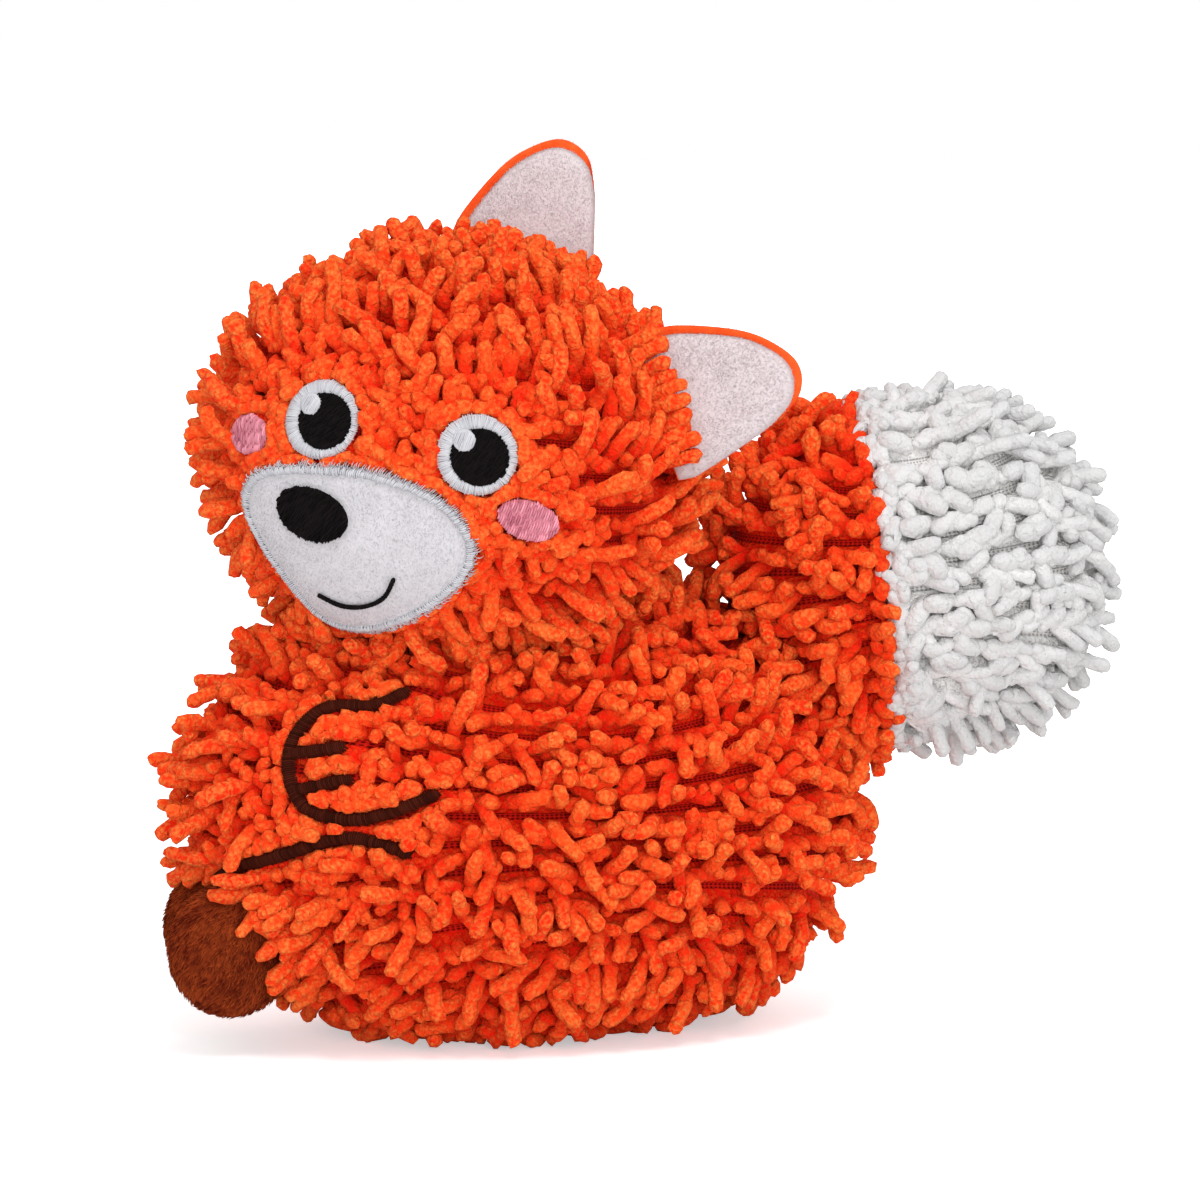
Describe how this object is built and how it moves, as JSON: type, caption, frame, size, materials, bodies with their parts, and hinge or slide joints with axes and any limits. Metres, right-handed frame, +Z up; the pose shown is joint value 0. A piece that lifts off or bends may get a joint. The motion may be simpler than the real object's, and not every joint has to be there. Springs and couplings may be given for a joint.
{
  "type": "stuffed fox toy",
  "caption": "Sitting stuffed fox in chenille finger cloth, head turned to one side, with an embroidered face, velour ears that flop, a raised white-ended tail and small velour feet.",
  "frame": {"origin": "on the surface that the toy sits on, in the flat place under the middle of its seat", "axes": "+Z up, -Y the way the body faces, +X towards the fox's left; the tail is raised at +Y"},
  "size_m": [0.0883, 0.1806, 0.1639],
  "materials": {
    "orange_chenille": "matt orange chenille fingers on a knitted mesh backing",
    "white_chenille": "matt white chenille fingers on a knitted mesh backing",
    "white_velour": "short brushed nap, faintly pink",
    "orange_velour": "short brushed nap",
    "brown_velour": "short brushed nap",
    "white_thread": "satin stitched embroidery thread",
    "black_thread": "satin stitched embroidery thread",
    "pink_thread": "fill stitched embroidery thread",
    "brown_thread": "satin stitched embroidery thread",
    "fibre_filling": "loose polyester fibre",
    "squeaker_plastic": "blow moulded soft plastic"
  },
  "bodies": {
    "root": {"body_cover": "orange_chenille", "body_filling": "fibre_filling", "head_cover": "orange_chenille", "head_filling": "fibre_filling", "tail_cover": "orange_chenille", "tail_tip_cover": "white_chenille", "tail_filling": "fibre_filling", "squeaker_bulb": "squeaker_plastic", "squeaker_reed": "squeaker_plastic", "muzzle_patch": "white_velour", "muzzle_edge_stitching": "white_thread", "nose": "black_thread", "mouth": "black_thread", "foot_left_cover": "brown_velour", "foot_left_filling": "fibre_filling", "foot_right_cover": "brown_velour", "foot_right_filling": "fibre_filling", "eye_left_white": "white_thread", "eye_left_pupil": "black_thread", "eye_left_glint": "white_thread", "eye_right_white": "white_thread", "eye_right_pupil": "black_thread", "eye_right_glint": "white_thread", "cheek_left": "pink_thread", "cheek_right": "pink_thread", "hand_left_outline": "brown_thread", "hand_right_outline": "brown_thread", "thigh_left_outline": "brown_thread", "thigh_right_outline": "brown_thread"},
    "ear_left": {"ear_left_front": "white_velour", "ear_left_back": "orange_velour"},
    "ear_right": {"ear_right_front": "white_velour", "ear_right_back": "orange_velour"}
  },
  "joints": [
    {"name": "ear_left_flop", "type": "hinge", "parent": "root", "child": "ear_left", "pos_m": [0.03032, 0.01453, 0.1174], "axis": [0.2656, 0.292, -0.9188], "range_deg": [-30, 30], "stiffness_Nm_per_rad": 0.005},
    {"name": "ear_right_flop", "type": "hinge", "parent": "root", "child": "ear_right", "pos_m": [-0.0072, -0.00126, 0.14172], "axis": [0.4501, 0.859, -0.2441], "range_deg": [-30, 30], "stiffness_Nm_per_rad": 0.005}
  ]
}
